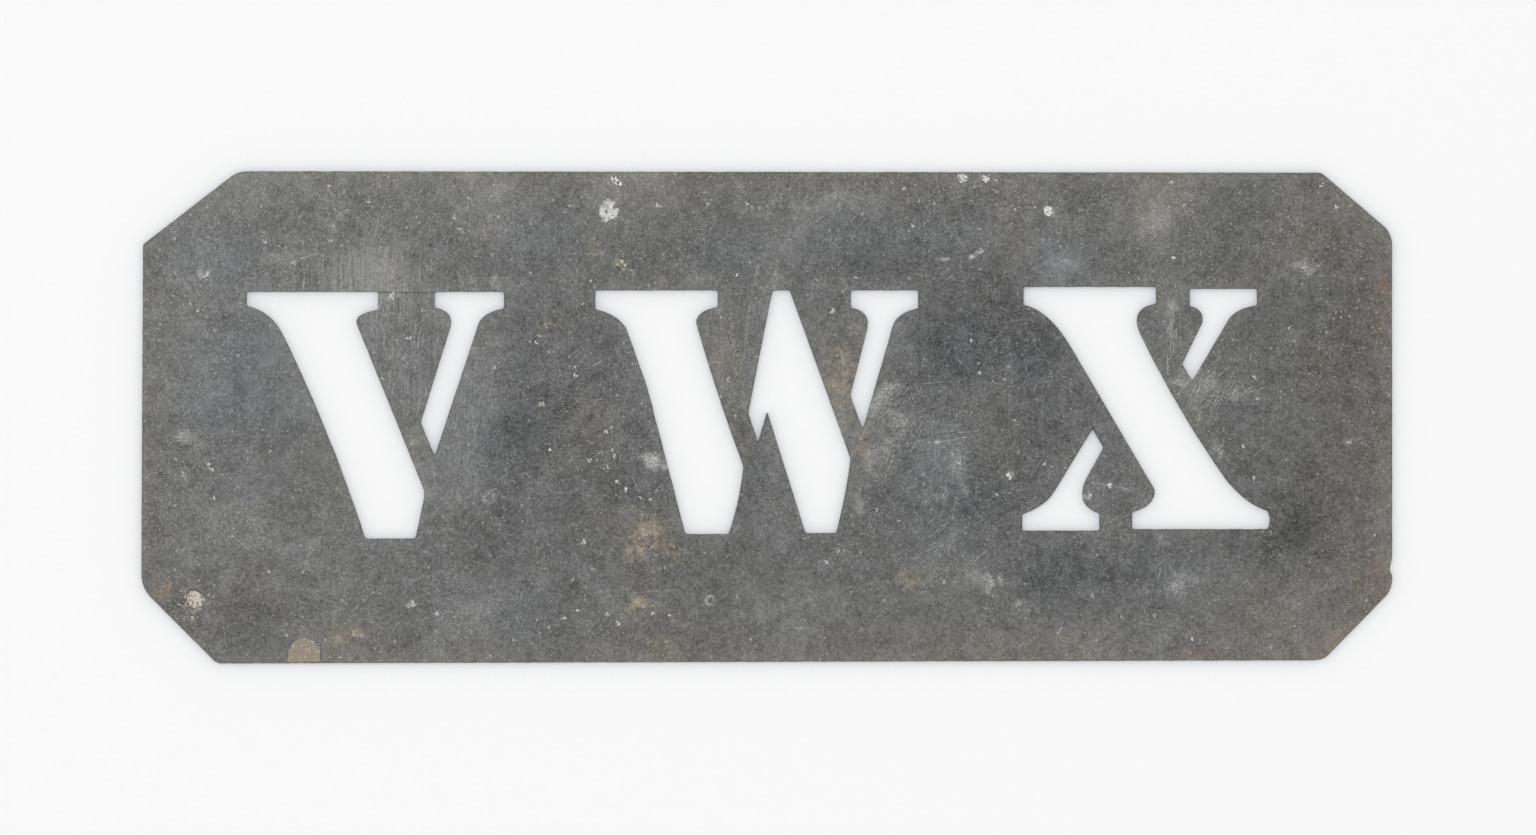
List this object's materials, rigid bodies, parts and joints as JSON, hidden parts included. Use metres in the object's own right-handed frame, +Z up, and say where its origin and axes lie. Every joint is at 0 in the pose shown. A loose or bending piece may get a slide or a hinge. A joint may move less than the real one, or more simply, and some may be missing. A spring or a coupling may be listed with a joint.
{
  "type": "letter stencil",
  "caption": "Flat rectangular sheet-metal letter stencil with cut corners, pierced by serif letter openings that are bridged by ties, with dried paint residue on its weathered grey face.",
  "frame": {"origin": "centre of the sheet's underside, on the surface it lies on", "axes": "+X along the line of letters in reading order, +Y from the foot of the letters to their tops, +Z up out of the marked face"},
  "size_m": [0.2539, 0.1, 0.0012],
  "materials": {
    "weathered_zinc": "dull weathered zinc sheet: oxidised grey, mottled, finely speckled and scratched",
    "white_paint": "chalky dried white paint",
    "plaster_crust": "granular cream plaster crust",
    "brown_paint": "thick khaki-brown paint scab"
  },
  "bodies": {
    "root": {"stencil_plate": "weathered_zinc", "plaster_crust_lower_left": "plaster_crust", "paint_splash_top": "white_paint", "paint_dab_top": "white_paint", "paint_flake_top_edge": "white_paint", "paint_chip_top_edge": "white_paint", "paint_spot_upper_right": "white_paint", "paint_scab_bottom_edge": "brown_paint"}
  },
  "joints": []
}
